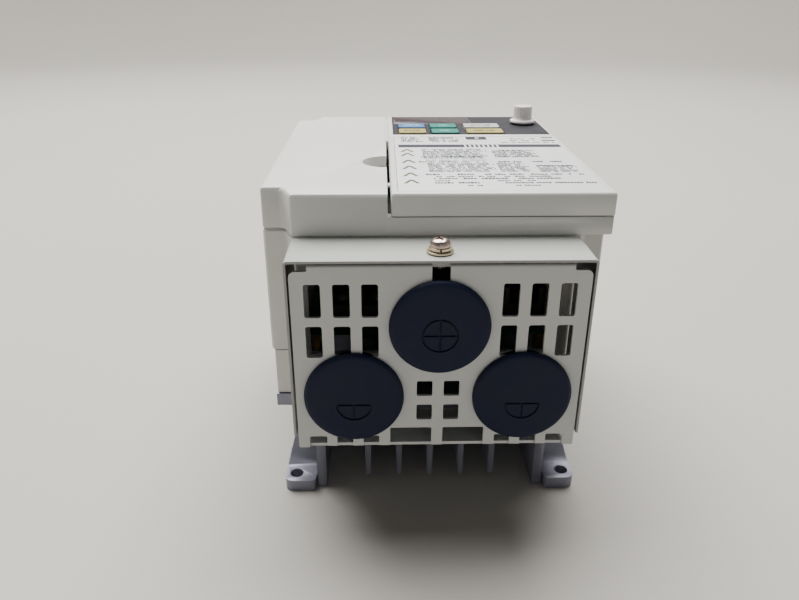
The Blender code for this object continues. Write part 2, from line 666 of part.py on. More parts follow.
def power_stage():
    """The module on the heat sink, and the board above it with what it carries."""
    module = block("power_module", BLACK, (-0.0250, 0.0250), (0.0500, 0.0900), (SINK_TOP + GAP, 0.0470))
    ears = ((-0.0330, 0.0330), (0.0640, 0.0760), (SINK_TOP + GAP, 0.0410))
    join(module, block("module_ears", None, *ears))
    holes = [((x, y, SINK_TOP - 0.001), (x, y, 0.0420), 0.0018) for x, y in MODULE_SCREWS]
    cut(module, cylinders("module_holes", None, holes, 12))
    for number, (x, y) in enumerate(MODULE_SCREWS, 1):
        screw(f"module_screw_{number}", (x, y, 0.0412), "-Z", 0.0015, 0.0080)
    low, high = POWER_BOARD
    block("power_board", BOARD, (-0.0425, 0.0425), (0.0060, 0.1225), (low, high))
    for number, (x, y) in enumerate(SPACERS, 1):
        cylinders(f"board_spacer_{number}", BRASS, [((x, y, SINK_TOP + GAP), (x, y, low - GAP), 0.0028)], 8)
    for number, y in enumerate((0.0560, 0.0870), 1):
        top, base, radius = 0.1050, high + GAP, 0.0125
        profile = [(0.0, top), (radius - 0.001, top), (radius, top - 0.001), (radius, base), (0.0, base)]
        turned(f"dc_capacitor_{number}", CAPACITOR, profile, (-0.0310, y, 0.0), steps=24)
    block("supply_transformer", COPPER, (0.0100, 0.0330), (0.0640, 0.0860), (high + GAP, 0.0820))
    between = (high + GAP, CONTROL_BOARD[0] - GAP)
    block("board_connector", LABEL_WHITE, (-0.0060, 0.0180), (0.1090, 0.1140), between)


def main_terminals():
    """The power terminal block near the conduit box, with a screw in each of its wells."""
    low = POWER_BOARD[1] + GAP
    half = TERMINALS * TERMINAL_PITCH / 2 + 0.001
    top = 0.0760
    terminal = block("main_terminal_block", BLACK, (-half, half), (0.0080, 0.0240), (low, top))
    wells = []
    centres = [(i - (TERMINALS - 1) / 2) * TERMINAL_PITCH for i in range(TERMINALS)]
    for x in centres:
        wells.append(((x - 0.0048, x + 0.0048), (0.0070, 0.0210), (0.0700, top + 0.001)))
    cut(terminal, boxes("terminal_wells", None, wells))
    holes = [((x, 0.0140, 0.0640), (x, 0.0140, 0.0710), 0.0020) for x in centres]
    cut(terminal, cylinders("terminal_holes", None, holes, 12))
    for number, x in enumerate(centres, 1):
        screw(f"terminal_screw_{number}", (x, 0.0140, 0.0702), "-Z", 0.0017, 0.0045)


def control_stage():
    """The control board under the deck, with its terminal strip and fault relay."""
    low, high = CONTROL_BOARD
    block("control_board", BOARD, (CONTROL_LEFT, CONTROL_RIGHT), (0.0300, 0.1170), (low, high))
    strip_x = (0.0000, 0.0460)
    strip = block("control_terminal_block", TERMINAL_GREEN, strip_x, (0.0330, 0.0430), (high + GAP, 0.1000))
    wells = []
    for number in range(9):
        x = strip_x[0] + 0.0025 + number * 0.0051
        wells.append(((x - 0.0016, x + 0.0016), (0.0320, 0.0395), (0.0970, 0.1010)))
    cut(strip, boxes("control_wells", None, wells))
    block("fault_relay", BLACK, (0.0280, 0.0450), (0.0540, 0.0660), (high + GAP, 0.1000))


def case_screws():
    for number, (x, y) in enumerate(CASE_SCREWS, 1):
        profile = [
            (0.0, 0.0098),
            (0.0015, 0.0098),
            (0.0015, 0.0),
            (0.0030, 0.0),
            (0.0030, -0.0010),
            (0.0020, -0.0018),
            (0.0, -0.0018),
        ]
        turned(f"case_screw_{number}", ZINC, profile, (x, y, BASE_BOTTOM - GAP), steps=12)


# Places shared by several parts
MODULE_SCREWS = ((-0.0290, 0.0700), (0.0290, 0.0700))
CASE_SCREWS = ((-0.0490, 0.0300), (0.0490, 0.0980))
SPACERS = ((-0.0380, 0.0120), (0.0380, 0.0120), (-0.0380, 0.1160), (0.0380, 0.1160))
BRACKET_SCREWS = (-0.0300, 0.0300)
BRACKET_SCREW_Z = 0.0420
WIRE_ENTRY_X, WIRE_ENTRY_Z = (-0.0400, 0.0400), (0.0565, 0.0905)
LOWER_ENTRY_X, LOWER_ENTRY_Z = (-0.0250, 0.0250), (0.0372, 0.0508)
CONTROL_LEFT, CONTROL_RIGHT = -0.0160, 0.0500
TERMINAL_WINDOW_X, TERMINAL_WINDOW_Y = (-0.0100, 0.0500), (0.0050, 0.0780)
BAY_X, BAY_Y = (-0.0105, 0.0505), (0.0880, 0.1245)
LABEL_X, LABEL_Y = (-0.0116, 0.0523), (0.0030, 0.0822)
OVERLAY_X, OVERLAY_Y = (-0.0118, 0.0525), (0.0864, 0.1268)
WINDOW_X, WINDOW_Y = (-0.0108, 0.0222), (0.1095, 0.1262)
DISPLAY_X, DISPLAY_Y = (-0.0075, 0.0185), (0.1110, 0.1240)

clear_scene()
PARTS = collection("variable_frequency_drive")
HELPERS = collection("cutters_and_joins")
DRIVE = bpy.data.objects.new("drive_origin", None)
DRIVE.location = (0.0, -(LENGTH - BOX_LENGTH - PLUG_PROUD) / 2, 0.0)
PARTS.objects.link(DRIVE)

CASE_GREY = material("case_grey", (0.70, 0.70, 0.66), 0.45)
SHEET_GREY = material("painted_sheet", (0.50, 0.51, 0.47), 0.50)
ALLOY = material("die_cast_alloy", (0.25, 0.25, 0.31), 0.45, 0.8)
OVERLAY_DARK = material("overlay_dark", (0.12, 0.11, 0.15), 0.35)
WINDOW_TINT = material("window_tint", (0.10, 0.04, 0.06), 0.15)
LABEL_WHITE = material("label_white", (0.78, 0.78, 0.78), 0.40)
KEY_BLUE = material("key_blue", (0.22, 0.35, 0.60), 0.45)
KEY_GREEN = material("key_green", (0.06, 0.36, 0.28), 0.45)
KEY_YELLOW = material("key_yellow", (0.75, 0.66, 0.30), 0.45)
KEY_GREY = material("key_grey", (0.60, 0.60, 0.60), 0.45)
KNOB_GREY = material("knob_grey", (0.50, 0.44, 0.42), 0.50)
PLUG_RUBBER = material("plug_rubber", (0.010, 0.014, 0.035), 0.55)
RUBBER = material("membrane_rubber", (0.30, 0.30, 0.30), 0.70)
ZINC = material("zinc_plated", (0.72, 0.60, 0.52), 0.25, 1.0)
STEEL = material("bright_steel", (0.55, 0.55, 0.55), 0.30, 1.0)
BRASS = material("spacer_brass", (0.70, 0.52, 0.20), 0.35, 1.0)
COPPER = material("winding_copper", (0.55, 0.30, 0.12), 0.45)
CAPACITOR = material("capacitor_sleeve", (0.03, 0.04, 0.10), 0.35)
BOARD = material("circuit_board", (0.03, 0.20, 0.08), 0.40)
TERMINAL_GREEN = material("terminal_green", (0.04, 0.28, 0.12), 0.45)
BLACK = material("black_plastic", (0.02, 0.02, 0.02), 0.50)

heat_sink()
lower_case()
middle_case()
upper_case()
front_cover()
operator_housing()
operator_skin()
keys()
operator_inside()
frequency_knob()
conduit_bracket()
conduit_cover()
hole_plugs()
power_stage()
main_terminals()
control_stage()
case_screws()
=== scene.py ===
"""Looks for a compact variable frequency drive that lies on its heat sink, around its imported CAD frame."""

import json
import math
import random

import bmesh
import bpy
from mathutils import Matrix, Vector


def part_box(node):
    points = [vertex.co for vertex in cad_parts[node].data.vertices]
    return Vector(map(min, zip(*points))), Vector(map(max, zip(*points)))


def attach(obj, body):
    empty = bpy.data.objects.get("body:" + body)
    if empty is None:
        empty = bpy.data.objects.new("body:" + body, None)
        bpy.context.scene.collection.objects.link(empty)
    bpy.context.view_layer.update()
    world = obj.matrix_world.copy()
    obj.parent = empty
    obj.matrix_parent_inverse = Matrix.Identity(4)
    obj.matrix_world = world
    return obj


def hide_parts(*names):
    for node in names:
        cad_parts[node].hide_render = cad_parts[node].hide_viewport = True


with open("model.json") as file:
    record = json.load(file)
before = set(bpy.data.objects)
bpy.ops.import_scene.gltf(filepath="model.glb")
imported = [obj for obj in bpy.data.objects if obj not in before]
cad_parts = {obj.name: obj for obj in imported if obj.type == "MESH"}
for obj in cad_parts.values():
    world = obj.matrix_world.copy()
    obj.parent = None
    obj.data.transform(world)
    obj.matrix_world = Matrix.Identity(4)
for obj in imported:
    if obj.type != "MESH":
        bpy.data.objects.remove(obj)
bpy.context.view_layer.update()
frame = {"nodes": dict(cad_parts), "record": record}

# The near end of the plastic case: lengths along Y in this script count from it
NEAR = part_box("front_cover")[0].y
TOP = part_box("front_cover")[1].z
MM = 0.001
BUMP_HEIGHT = 0.0002


def at(x, y, z):
    """A point given in millimetres from the middle of the case's near end, on the floor."""
    return Vector((x * MM, NEAR + y * MM, z * MM))


# ---------------------------------------------------------------- materials


def link(tree, out_node, out_name, in_node, in_name):
    tree.links.new(out_node.outputs[out_name], in_node.inputs[in_name])


def noise(tree, coords, scale, detail, roughness):
    made = tree.nodes.new("ShaderNodeTexNoise")
    made.inputs["Scale"].default_value = scale
    made.inputs["Detail"].default_value = detail
    made.inputs["Roughness"].default_value = roughness
    link(tree, coords, "Object", made, "Vector")
    return made


def surface(name, colour, roughness, metallic=0.0, tone=0.05, tone_scale=40.0, grain=900.0, bump=0.05,
            rough_spread=0.06, specular=0.5, coat=0.0):
    """A Principled surface whose colour, roughness and height vary with noise at two scales.

    tone is how far the colour strays, over patches set by tone_scale; grain and bump are the fine relief.
    """
    made = bpy.data.materials.new(name)
    made.use_nodes = True
    tree = made.node_tree
    shader = tree.nodes["Principled BSDF"]
    shader.inputs["Metallic"].default_value = metallic
    shader.inputs["Coat Weight"].default_value = coat
    shader.inputs["Specular IOR Level"].default_value = specular
    coords = tree.nodes.new("ShaderNodeTexCoord")
    broad = noise(tree, coords, tone_scale, 4.0, 0.55)
    ramp = tree.nodes.new("ShaderNodeValToRGB")
    dark_end, light_end = ramp.color_ramp.elements
    dark_end.position, light_end.position = 0.3, 0.7
    dark_end.color = (*[c * (1 - tone) for c in colour], 1)
    light_end.color = (*[min(1, c * (1 + tone)) for c in colour], 1)
    link(tree, broad, "Fac", ramp, "Fac")
    link(tree, ramp, "Color", shader, "Base Color")
    spread = tree.nodes.new("ShaderNodeMapRange")
    spread.inputs["To Min"].default_value = max(0.02, roughness - rough_spread)
    spread.inputs["To Max"].default_value = min(1.0, roughness + rough_spread)
    link(tree, broad, "Fac", spread, "Value")
    link(tree, spread, "Result", shader, "Roughness")
    fine = noise(tree, coords, grain, 2.0, 0.6)
    height = tree.nodes.new("ShaderNodeBump")
    height.inputs["Strength"].default_value = bump
    height.inputs["Distance"].default_value = BUMP_HEIGHT
    link(tree, fine, "Fac", height, "Height")
    link(tree, height, "Normal", shader, "Normal")
    return made


def printed(name, colour, roughness, tone, tone_scale, specular, bump=0.02):
    """A printed film or ink: almost flat, with very little gloss."""
    return surface(name, colour, roughness, tone=tone, tone_scale=tone_scale, grain=2500, bump=bump,
                   specular=specular)


def key_plastic(name, colour, tone, specular, roughness=0.42, bump=0.06):
    return surface(name, colour, roughness, tone=tone, tone_scale=80, grain=2500, bump=bump,
                   specular=specular)


def paint(name, colour):
    return surface(name, colour, 0.50, tone=0.015, tone_scale=25, grain=1800, bump=0.12, specular=0.25)


def plating(name, colour, roughness, metallic, tone):
    return surface(name, colour, roughness, metallic=metallic, tone=tone, tone_scale=500, grain=2200,
                   bump=0.10)


CASE = surface("case_plastic", (0.655, 0.650, 0.625), 0.40, tone=0.012, tone_scale=18, grain=2600,
               bump=0.10)
SHEET = paint("painted_sheet", (0.575, 0.583, 0.572))
# A darker copy of the sheet paint for the conduit cover: painted shade that keeps the cover's top darker
# than the lit front panel.
SHADED_COVER_PAINT = paint("painted_cover_shade", (0.362, 0.369, 0.350))
ALLOY = surface("die_cast_alloy", (0.240, 0.245, 0.300), 0.44, metallic=0.35, tone=0.10, tone_scale=70,
                grain=1500, bump=0.28, rough_spread=0.10)
OVERLAY = surface("operator_overlay", (0.036, 0.035, 0.042), 0.56, tone=0.04, tone_scale=60, grain=3000,
                  bump=0.05, specular=0.06)
LABEL = printed("label_film", (0.665, 0.670, 0.680), 0.42, 0.01, 30, 0.5, bump=0.03)
INK = printed("label_ink", (0.022, 0.022, 0.028), 0.62, 0.25, 900, 0.10)
PALE_INK = printed("pale_ink", (0.088, 0.106, 0.118), 0.62, 0.20, 900, 0.15)
BAR_INK = printed("bar_ink", (0.045, 0.045, 0.062), 0.60, 0.05, 200, 0.08)
MINT = printed("mint_ink", (0.330, 0.560, 0.500), 0.50, 0.10, 900, 0.5)
SIGN_INK = printed("sign_ink", (0.095, 0.086, 0.042), 0.60, 0.10, 400, 0.10)
KEY_BLUE = key_plastic("key_blue", (0.070, 0.168, 0.370), 0.05, 0.20)
KEY_GREEN = key_plastic("key_green", (0.017, 0.188, 0.155), 0.05, 0.20)
KEY_YELLOW = key_plastic("key_yellow", (0.365, 0.310, 0.106), 0.04, 0.25)
KEY_GREY = key_plastic("key_grey", (0.430, 0.435, 0.425), 0.03, 0.25)
KNOB = key_plastic("knob_plastic", (0.840, 0.800, 0.790), 0.03, 0.30, 0.50, 0.08)
KNOB_TOP = key_plastic("knob_cap", (0.740, 0.680, 0.620), 0.03, 0.5, 0.45, 0.05)
RUBBER = surface("plug_rubber", (0.0018, 0.0058, 0.0290), 0.58, tone=0.14, tone_scale=120, grain=1400,
                 bump=0.16, rough_spread=0.10, specular=0.26)
ZINC = plating("zinc_plating", (0.600, 0.470, 0.420), 0.27, 1.0, 0.14)
WASHER = plating("yellow_zinc", (0.620, 0.520, 0.370), 0.30, 1.0, 0.16)
# A darker, rougher copy of the zinc for the screws deep inside the drive: the darkness is painted shade, as
# little light reaches them.
DULL_SHADED_ZINC = plating("dull_zinc_painted_shade", (0.200, 0.185, 0.165), 0.45, 0.8, 0.14)
# Dark bare metal for the inner faces of the conduit box: partly the sheet's own unpainted inside, and its
# darkness is painted shade for the dim inside of the box.
BARE_SHEET_AND_SHADE = surface("bare_sheet_and_shade", (0.270, 0.270, 0.275), 0.34, metallic=0.85, tone=0.12, tone_scale=160,
                     grain=900, bump=0.06)
STEEL = surface("turned_steel", (0.55, 0.55, 0.55), 0.30, metallic=1.0, tone=0.05, tone_scale=300,
                bump=0.08)
BRASS = surface("spacer_brass", (0.70, 0.50, 0.20), 0.32, metallic=1.0, tone=0.06, tone_scale=200,
                bump=0.08)
COPPER = surface("winding_tape", (0.52, 0.30, 0.10), 0.45, tone=0.10, tone_scale=150, bump=0.10)
SLEEVE = surface("capacitor_sleeve", (0.025, 0.035, 0.090), 0.32, tone=0.06, tone_scale=80, bump=0.04)
# The board's green is darkened: painted shade, so the board seen through the openings stays dim.
BOARD = surface("circuit_board", (0.012, 0.085, 0.036), 0.40, tone=0.18, tone_scale=350, grain=1200,
                bump=0.10)
GREEN = surface("terminal_green", (0.035, 0.260, 0.110), 0.45, tone=0.05, tone_scale=100, bump=0.06)
BLACK = surface("black_plastic", (0.020, 0.020, 0.021), 0.48, tone=0.10, tone_scale=100, bump=0.08)
NYLON = surface("nylon", (0.66, 0.64, 0.56), 0.48, tone=0.03, tone_scale=100, bump=0.06)
# Smoked red plastic over a dark display
WINDOW = surface("window_tint", (0.052, 0.036, 0.044), 0.26, tone=0.10, tone_scale=90, bump=0.01,
                 specular=0.16, coat=0.04)

# The finish of each CAD node, by the record's slot for it
FINISHES = {
    "case": CASE,
    "sheet": SHEET,
    "alloy": ALLOY,
    "overlay": OVERLAY,
    "window": WINDOW,
    "label": LABEL,
    "nylon": NYLON,
    "key_blue": KEY_BLUE,
    "key_green": KEY_GREEN,
    "key_yellow": KEY_YELLOW,
    "key_grey": KEY_GREY,
    "knob": KNOB,
    "plug_rubber": RUBBER,
    "membrane": NYLON,
    "zinc": ZINC,
    "steel": STEEL,
    "brass": BRASS,
    "copper": COPPER,
    "capacitor": SLEEVE,
    "board": BOARD,
    "terminal_green": GREEN,
    "black": BLACK,
}

SLOT_OF = {part["node"]: part["material_slot"] for part in frame["record"]["subparts"]}


def round_edges(obj, width, segments=2, angle=32.0):
    """Joins a CAD node's split vertices and rounds its sharp edges, without touching its own mesh."""
    weld = obj.modifiers.new("weld", "WELD")
    weld.merge_threshold = 2e-6
    bevel = obj.modifiers.new("rounding", "BEVEL")
    bevel.width = width
    bevel.segments = segments
    bevel.limit_method = "ANGLE"
    bevel.angle_limit = math.radians(angle)
    bevel.harden_normals = True
    bevel.use_clamp_overlap = True
    obj.data.shade_smooth()


# Edge rounding of the CAD nodes by slot, in metres
ROUNDING = {"case": 0.00022, "sheet": 0.00018, "alloy": 0.00040, "black": 0.00020, "zinc": 0.00010}
OTHER_ROUNDING = 0.00012


def finish_cad_nodes():
    """Gives every CAD node the material of its slot and soft edges; the screws inside take a darker, duller
    zinc, painted shade for the dim inside of the drive.
    """
    for name, obj in frame["nodes"].items():
        slot = SLOT_OF[name]
        obj.data.materials.clear()
        # Screws inside the drive take the darker zinc: painted shade.
        inside = name.startswith(("terminal_screw", "module_screw"))
        obj.data.materials.append(DULL_SHADED_ZINC if inside else FINISHES[slot])
        round_edges(obj, ROUNDING.get(slot, OTHER_ROUNDING))


# ---------------------------------------------------------------- mesh helpers


def add_piece(name, mesh, finish, body, replaces=(), smooth=False):
    """Puts a mesh in the scene as a piece that rides on a CAD body and may stand for CAD nodes."""
    obj = bpy.data.objects.new(name, mesh)
    bpy.context.scene.collection.objects.link(obj)
    mesh.materials.clear()
    mesh.materials.append(finish)
    if smooth:
        mesh.shade_smooth()
    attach(obj, body)
    if replaces:
        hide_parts(*replaces)
    return obj


def mesh_of(shape, name):
    bmesh.ops.recalc_face_normals(shape, faces=shape.faces)
    mesh = bpy.data.meshes.new(name)
    shape.to_mesh(mesh)
    shape.free()
    return mesh


def add_box(shape, low, high):
    """A box between two corners in an open bmesh; returns its vertices."""
    verts = bmesh.ops.create_cube(shape, size=1.0)["verts"]
    low, high = Vector(low), Vector(high)
    bmesh.ops.scale(shape, vec=high - low, verts=verts)
    bmesh.ops.translate(shape, vec=(high + low) / 2, verts=verts)
    return verts


def arc(centre, radius, start, end, steps):
    """Points of an arc in degrees, both ends included."""
    points = []
    for i in range(steps + 1):
        angle = math.radians(start + (end - start) * i / steps)
        points.append((centre[0] + radius * math.cos(angle), centre[1] + radius * math.sin(angle)))
    return points


def round_rectangle(x, y, radius, steps=4):
    """The outline of a rectangle with round corners, anticlockwise."""
    points = arc((x[1] - radius, y[1] - radius), radius, 0, 90, steps)
    points += arc((x[0] + radius, y[1] - radius), radius, 90, 180, steps)
    points += arc((x[0] + radius, y[0] + radius), radius, 180, 270, steps)
    points += arc((x[1] - radius, y[0] + radius), radius, 270, 360, steps)
    return points


def add_prism(shape, points, low, high, axis):
    """A flat outline in millimetres, made solid between two levels along an axis (also millimetres).

    Outlines are (x, z) for Y, (x, y) for Z and (y, z) for X, with y counted from the case's near end.
    """
    rows = []
    for level in (low, high):
        row = []
        for a, b in points:
            spot = {"X": (level, a, b), "Y": (a, level, b), "Z": (a, b, level)}[axis]
            row.append(shape.verts.new(at(*spot)))
        rows.append(row)
    count = len(points)
    for i in range(count):
        j = (i + 1) % count
        shape.faces.new((rows[0][i], rows[0][j], rows[1][j], rows[1][i]))
    shape.faces.new(rows[0])
    shape.faces.new(rows[1])


def prisms(name, solids):
    shape = bmesh.new()
    for points, low, high, axis in solids:
        add_prism(shape, points, low, high, axis)
    return mesh_of(shape, name)


def combine(mesh, other, operation):
    """Joins another closed mesh to this one or cuts it away, and returns the result."""
    holder = bpy.data.objects.new("holder", mesh)
    helper = bpy.data.objects.new("helper", other)
    for obj in (holder, helper):
        bpy.context.scene.collection.objects.link(obj)
    modifier = holder.modifiers.new("combine", "BOOLEAN")
    modifier.operation = operation
    modifier.solver = "EXACT"
    modifier.use_self = True
    modifier.object = helper
    bpy.context.view_layer.update()
    made = bpy.data.meshes.new_from_object(holder.evaluated_get(bpy.context.evaluated_depsgraph_get()))
    for obj in (holder, helper):
        bpy.data.objects.remove(obj, do_unlink=True)
    for old in (mesh, other):
        bpy.data.meshes.remove(old)
    shape = bmesh.new()
    shape.from_mesh(made)
    bmesh.ops.remove_doubles(shape, verts=shape.verts, dist=2e-6)
    bmesh.ops.dissolve_limit(shape, angle_limit=math.radians(0.5), verts=shape.verts, edges=shape.edges)
    shape.to_mesh(made)
    shape.free()
    return made


def rounded(obj, width, segments=3, angle=32.0):
    """Rounds the edges of a piece where its faces turn sharply."""
    bevel = obj.modifiers.new("rounding", "BEVEL")
    bevel.width = width
    bevel.segments = segments
    bevel.limit_method = "ANGLE"
    bevel.angle_limit = math.radians(angle)
    bevel.harden_normals = True
    obj.data.shade_smooth()
    return obj


def turned(name, profile, steps, bend=None):
    """A turned mesh about Z from (radius, height) points in millimetres; bend may move each point.

    A profile that starts away from the axis is closed into a ring.
    """
    shape = bmesh.new()
    rings = []
    for radius, height in profile:
        if radius < 1e-6:
            rings.append([shape.verts.new((0.0, 0.0, height * MM))])
            continue
        ring = []
        for i in range(steps):
            angle = 2 * math.pi * i / steps
            r, h = bend(radius, height, angle) if bend else (radius, height)
            ring.append(shape.verts.new((r * MM * math.cos(angle), r * MM * math.sin(angle), h * MM)))
        rings.append(ring)
    if profile[0][0] > 1e-6:
        rings.append(rings[0])
    for first, second in zip(rings, rings[1:]):
        for i in range(steps):
            j = (i + 1) % steps
            corners = [first[i % len(first)], first[j % len(first)]]
            corners += [second[j % len(second)], second[i % len(second)]]
            shape.faces.new(list(dict.fromkeys(corners)))
    return mesh_of(shape, name)


def moved(mesh, spot, facing_near=False):
    """Moves a turned mesh to a point; its axis may be laid down to face the conduit end."""
    if facing_near:
        mesh.transform(Matrix.Rotation(math.pi / 2, 4, "X"))
    mesh.transform(Matrix.Translation(spot))
    return mesh


# ---------------------------------------------------------------- printing


# A printed mark's height above its surface, and its thickness, in metres
PRINT_LIFT, PRINT_THICK = 0.00002, 0.00003


class Print:
    """Thin printed marks on a level surface, gathered into one mesh."""

    def __init__(self, name, finish, body, slot, level):
        self.name, self.finish, self.body, self.slot = name, finish, body, slot
        self.low = level + PRINT_LIFT
        self.shape = bmesh.new()

    def bar(self, x, y, slant=0.0):
        """A mark from x[0] to x[1] and y[0] to y[1], in millimetres; slant shifts its far edge along X."""
        low, high = at(x[0], y[0], 0), at(x[1], y[1], 0)
        low.z, high.z = self.low, self.low + PRINT_THICK
        for vert in add_box(self.shape, low, high):
            if vert.co.y > (low.y + high.y) / 2:
                vert.co.x += slant * MM

    def outline(self, points):
        """A filled mark from its outline, in millimetres."""
        add_prism(self.shape, points, self.low / MM, (self.low + PRINT_THICK) / MM, "Z")

    def chevron(self, x, y, width, height, stroke):
        """Two slanted strokes that meet at the top."""
        for side in (-1, 1):
            near = sorted((x + side * width / 2, x + side * (width / 2 - stroke)))
            self.bar(near, (y, y + height), slant=-side * (width / 2 - stroke / 2))

    def words(self, draw, x, y, height, letter, density=0.9):
        """A line of unreadable marks that has the rhythm of small print."""
        spot = x[0]
        while spot < x[1]:
            for _ in range(draw.randint(2, 9)):
                wide = letter * draw.uniform(0.55, 1.1)
                if spot + wide > x[1]:
                    spot = x[1]
                    break
                if draw.random() < density:
                    self.bar((spot, spot + wide), (y, y + height * draw.choice((0.70, 0.80, 1.0))))
                spot += wide + letter * 0.20
            spot += letter * draw.uniform(0.7, 1.5)

    def done(self):
        return add_piece(self.name, mesh_of(self.shape, self.name), self.finish, self.body)


# Rows of dark print on the label, in millimetres: near edge, height and spans along X
DARK_ROWS = (
    (46.4, 1.3, ((-2.6, 20.0), (25.0, 36.0))),
    (38.9, 1.5, ((-3.6, 21.0), (24.0, 33.0), (36.0, 48.0))),
    (21.6, 1.5, ((-3.0, 3.0), (8.0, 14.0), (17.0, 30.0), (32.0, 50.0))),
    (19.0, 1.3, ((1.0, 21.0), (23.0, 38.0))),
    (16.4, 1.5, ((0.0, 24.0), (27.0, 41.0))),
    (13.8, 1.2, ((-1.0, 5.0), (20.0, 33.0))),
    (11.2, 1.5, ((0.0, 14.0), (22.0, 51.0))),
    (8.2, 1.2, ((10.0, 15.0), (24.0, 33.0))),
    (57.2, 1.1, ((27.0, 38.0),)),
    (33.2, 1.1, ((36.0, 49.0),)),
    (77.4, 1.3, ((34.6, 45.4),)),
    (74.0, 1.3, ((33.8, 44.8),)),
    (70.8, 1.1, ((30.0, 51.0),)),
)
# Blocks of small print: span along X, then the far and the near row
SMALL_PRINT = (
    ((-1.6, 22.5), 59.0, 43.6),
    ((-1.2, 23.0), 41.6, 40.0),
    ((-0.8, 22.0), 36.9, 24.2),
    ((24.0, 40.5), 56.2, 46.0),
    ((23.0, 34.0), 36.9, 24.2),
    ((36.0, 50.5), 33.2, 25.0),
    ((-8.8, 0.2), 80.6, 72.0),
    ((2.2, 14.2), 80.6, 72.0),
)
ROW_HEIGHT, ROW_PITCH = 1.25, 1.60
BULLET_ROWS = (55.2, 48.8, 38.2, 29.6, 20.2, 11.4)
# The striped bar across the label, from its ends and the first and second edge of its first gap
BAR_ENDS, BAR_ROW = (-10.2, 51.6), (63.0, 67.6)
GAP_EDGES, GAPS, GAP_PITCH = (14.9, 15.7), 8, 1.75


def front_print():
    """Generic printing on the front cover: a striped bar, plain bullets and unreadable small print."""
    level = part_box("front_label")[1].z
    draw = random.Random(7)
    bar = Print("label_bars", BAR_INK, "front_cover", "overlay", level)
    edges = [BAR_ENDS[0]]
    for i in range(GAPS):
        edges += [edge + GAP_PITCH * i for edge in GAP_EDGES]
    edges.append(BAR_ENDS[1])
    for left, right in zip(edges[::2], edges[1::2]):
        bar.bar((left, right), BAR_ROW)
    bar.bar((47.2, 51.8), (79.2, 80.9))
    bar.bar((46.4, 51.8), (74.0, 75.6))
    bar.done()
    dark = Print("label_headings", INK, "front_cover", "overlay", level)
    for y, height, spans in DARK_ROWS:
        for x in spans:
            dark.words(draw, x, y, height, 0.95, 0.9)
    dark.done()
    pale = Print("label_small_print", PALE_INK, "front_cover", "overlay", level)
    for x, high, low in SMALL_PRINT:
        y = high
        while y > low:
            pale.words(draw, (x[0], x[1] - draw.uniform(0.0, 3.0)), y, ROW_HEIGHT, 0.70, 0.95)
            y -= ROW_PITCH
    pale.done()
    signs = Print("label_bullets", SIGN_INK, "front_cover", "overlay", level)
    for y in BULLET_ROWS:
        signs.chevron(-7.2, y, 5.2, 4.4, 1.0)
    signs.done()


def indicator_tab():
    """The dark tab at the far end of the cover's label, with its white dot."""
    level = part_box("front_label")[1].z
    tab = Print("label_tab", BAR_INK, "front_cover", "overlay", level)
    tab.outline(round_rectangle((17.0, 25.2), (76.6, 82.1), 0.9))
    tab.done()
    dot = turned("label_tab_dot", [(0.0, 0.03), (0.85, 0.03), (0.9, 0.0), (0.0, 0.0)], 24)
    moved(dot, Vector((*at(21.4, 79.6, 0).xy, level + PRINT_LIFT + PRINT_THICK)))
    add_piece("label_tab_dot", dot, LABEL, "front_cover")


# ---------------------------------------------------------------- operator

KEYS = {
    "display_key": (KEY_BLUE, MINT),
    "up_key": (KEY_GREEN, MINT),
    "run_key": (KEY_GREY, PALE_INK),
    "data_enter_key": (KEY_YELLOW, SIGN_INK),
    "down_key": (KEY_GREEN, MINT),
    "stop_key": (KEY_YELLOW, SIGN_INK),
}


def operator_keys():
    """Keys with round corners and soft top edges, each with a generic printed mark."""
    flange = 0.7
    for name, (finish, ink) in KEYS.items():
        low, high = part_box(name)
        x = (low.x / MM + flange, high.x / MM - flange)
        y = ((low.y - NEAR) / MM + flange, (high.y - NEAR) / MM - flange)
        foot_x, foot_y = (x[0] - flange, x[1] + flange), (y[0] - flange, y[1] + flange)
        foot_top = low.z / MM + 0.8
        mesh = prisms(name + "_cap", [(round_rectangle(x, y, 0.9), low.z / MM + 0.1, high.z / MM, "Z")])
        foot = prisms("flange", [(round_rectangle(foot_x, foot_y, 0.6), low.z / MM, foot_top, "Z")])
        cap = add_piece(name + "_cap", combine(mesh, foot, "UNION"), finish, name, (name,))
        rounded(cap, 0.00028, 3)
        key_mark(name, ink, x, y, high.z)


def key_mark(name, ink, x, y, level):
    """A strip of plain marks in the middle of a key, which says nothing."""
    draw = random.Random(len(name))
    mark = Print(name + "_mark", ink, name, "label", level)
    middle, row = sum(x) / 2, sum(y) / 2
    half = (x[1] - x[0]) * 0.30
    if name in ("up_key", "down_key"):
        mark.bar((middle - 1.9, middle + 1.9), (row - 0.5, row + 0.4))
    else:
        for drop in (0.6, -1.2):
            mark.words(draw, (middle - half, middle + half), row + drop - 0.4, 1.0, 0.8)
    mark.done()


